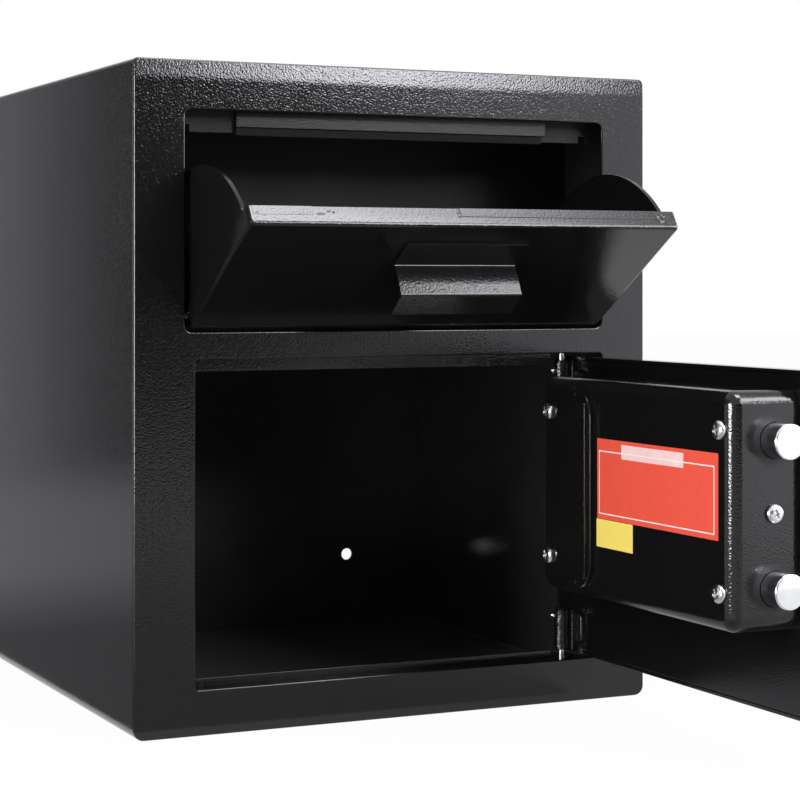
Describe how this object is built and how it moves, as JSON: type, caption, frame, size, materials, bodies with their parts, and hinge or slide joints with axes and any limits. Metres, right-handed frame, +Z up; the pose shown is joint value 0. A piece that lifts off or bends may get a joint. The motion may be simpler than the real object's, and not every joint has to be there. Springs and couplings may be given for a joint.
{
  "type": "drop safe",
  "caption": "Front-loading drop safe: tip-out deposit drawer above a hinged door with a knob-driven bolt bar and keypad lock.",
  "frame": {"origin": "middle of the base, on the floor", "axes": "+Z up, -Y towards the front with the drawer and the door, +X to the right seen from the front"},
  "size_m": [0.39, 0.6584, 0.45],
  "materials": {
    "textured_paint": "orange-peel powder coat, black",
    "smooth_paint": "gloss, black",
    "zinc": "bright zinc plate",
    "chrome": "polished",
    "dark_steel": "phosphated, dull",
    "rubber": "matt, black",
    "black_plastic": "fine texture, black",
    "grey_plastic": "satin, grey",
    "board": "green laminate",
    "light": "clear green",
    "red_paper": "printed film, satin",
    "yellow_paper": "printed film, satin"
  },
  "bodies": {
    "cabinet": {"body_shell": "textured_paint", "back_plate": "textured_paint", "front_frame": "textured_paint", "door_stop": "textured_paint", "hinge_lug_top": "textured_paint", "hinge_lug_bottom": "textured_paint", "hinge_pin_top": "zinc", "hinge_pin_bottom": "zinc", "floor_mat": "rubber", "drawer_stop": "textured_paint", "drawer_bumper": "rubber", "pivot_bracket_left": "textured_paint", "pivot_bracket_right": "textured_paint", "baffle_plate": "textured_paint"},
    "drawer": {"drawer_front": "textured_paint", "drawer_liner": "textured_paint", "drawer_cheek_left": "textured_paint", "drawer_cheek_right": "textured_paint", "scoop_plate": "textured_paint", "drawer_pull": "textured_paint", "pivot_pin_left": "zinc", "pivot_pin_right": "zinc"},
    "door": {"door_pan": "textured_paint", "door_inner_plate": "smooth_paint", "hinge_barrel_top": "textured_paint", "hinge_barrel_bottom": "textured_paint", "lock_cover": "textured_paint", "screw_upper_left": "zinc", "screw_upper_right": "zinc", "screw_lower_left": "zinc", "screw_lower_right": "zinc", "screw_end": "zinc", "battery_holder": "black_plastic", "red_label": "red_paper", "yellow_label": "yellow_paper", "solenoid_body": "dark_steel", "keypad_housing": "black_plastic", "circuit_board": "board", "status_light": "light", "lock_barrel": "zinc"},
    "battery_cover": {"battery_cover": "smooth_paint"},
    "bolts": {"bolt_lower": "chrome", "bolt_upper": "chrome", "bolt_bar": "dark_steel"},
    "knob": {"turning_knob": "black_plastic", "knob_spindle": "zinc"},
    "plunger": {"solenoid_plunger": "zinc"},
    "lock_plug": {"lock_plug": "zinc"},
    "key_1": {"key_1": "grey_plastic"},
    "key_2": {"key_2": "grey_plastic"},
    "key_3": {"key_3": "grey_plastic"},
    "key_4": {"key_4": "grey_plastic"},
    "key_5": {"key_5": "grey_plastic"},
    "key_6": {"key_6": "grey_plastic"},
    "key_7": {"key_7": "grey_plastic"},
    "key_8": {"key_8": "grey_plastic"},
    "key_9": {"key_9": "grey_plastic"},
    "key_10": {"key_10": "grey_plastic"},
    "key_11": {"key_11": "grey_plastic"},
    "key_12": {"key_12": "grey_plastic"}
  },
  "joints": [
    {"name": "door_hinge", "type": "hinge", "parent": "cabinet", "child": "door", "pos_m": [0.138, -0.169, 0.14], "axis": [0, 0, -1], "range_deg": [0, 90]},
    {"name": "drawer_tip", "type": "hinge", "parent": "cabinet", "child": "drawer", "pos_m": [0, -0.176, 0.279], "axis": [-1, 0, 0], "range_deg": [0, 58.5]},
    {"name": "knob_turn", "type": "hinge", "parent": "door", "child": "knob", "pos_m": [0, -0.384, 0.16], "axis": [-1, 0, 0], "range_deg": [0, 90]},
    {"name": "bolt_slide", "type": "slide", "parent": "door", "child": "bolts", "axis": [0, 1, 0], "range_m": [0, 0.0164]},
    {"name": "battery_cover_lift", "type": "slide", "parent": "door", "child": "battery_cover", "axis": [-1, 0, 0], "range_m": [0, 0.025]},
    {"name": "plunger_pull", "type": "slide", "parent": "door", "child": "plunger", "axis": [-1, 0, 0], "range_m": [0, 0.005], "stiffness_N_per_m": 60, "springref_m": -0.004},
    {"name": "key_lock_turn", "type": "hinge", "parent": "door", "child": "lock_plug", "pos_m": [0, -0.2464, 0.122], "axis": [-1, 0, 0], "range_deg": [0, 90]},
    {"name": "key_1_press", "type": "slide", "parent": "door", "child": "key_1", "axis": [-1, 0, 0], "range_m": [0, 0.0012], "stiffness_N_per_m": 300, "springref_m": -0.0012},
    {"name": "key_2_press", "type": "slide", "parent": "door", "child": "key_2", "axis": [-1, 0, 0], "range_m": [0, 0.0012], "stiffness_N_per_m": 300, "springref_m": -0.0012},
    {"name": "key_3_press", "type": "slide", "parent": "door", "child": "key_3", "axis": [-1, 0, 0], "range_m": [0, 0.0012], "stiffness_N_per_m": 300, "springref_m": -0.0012},
    {"name": "key_4_press", "type": "slide", "parent": "door", "child": "key_4", "axis": [-1, 0, 0], "range_m": [0, 0.0012], "stiffness_N_per_m": 300, "springref_m": -0.0012},
    {"name": "key_5_press", "type": "slide", "parent": "door", "child": "key_5", "axis": [-1, 0, 0], "range_m": [0, 0.0012], "stiffness_N_per_m": 300, "springref_m": -0.0012},
    {"name": "key_6_press", "type": "slide", "parent": "door", "child": "key_6", "axis": [-1, 0, 0], "range_m": [0, 0.0012], "stiffness_N_per_m": 300, "springref_m": -0.0012},
    {"name": "key_7_press", "type": "slide", "parent": "door", "child": "key_7", "axis": [-1, 0, 0], "range_m": [0, 0.0012], "stiffness_N_per_m": 300, "springref_m": -0.0012},
    {"name": "key_8_press", "type": "slide", "parent": "door", "child": "key_8", "axis": [-1, 0, 0], "range_m": [0, 0.0012], "stiffness_N_per_m": 300, "springref_m": -0.0012},
    {"name": "key_9_press", "type": "slide", "parent": "door", "child": "key_9", "axis": [-1, 0, 0], "range_m": [0, 0.0012], "stiffness_N_per_m": 300, "springref_m": -0.0012},
    {"name": "key_10_press", "type": "slide", "parent": "door", "child": "key_10", "axis": [-1, 0, 0], "range_m": [0, 0.0012], "stiffness_N_per_m": 300, "springref_m": -0.0012},
    {"name": "key_11_press", "type": "slide", "parent": "door", "child": "key_11", "axis": [-1, 0, 0], "range_m": [0, 0.0012], "stiffness_N_per_m": 300, "springref_m": -0.0012},
    {"name": "key_12_press", "type": "slide", "parent": "door", "child": "key_12", "axis": [-1, 0, 0], "range_m": [0, 0.0012], "stiffness_N_per_m": 300, "springref_m": -0.0012}
  ],
  "couplings": [
    {"joint": "knob_turn", "follows": "bolt_slide", "rad_per_m": 95.78}
  ]
}
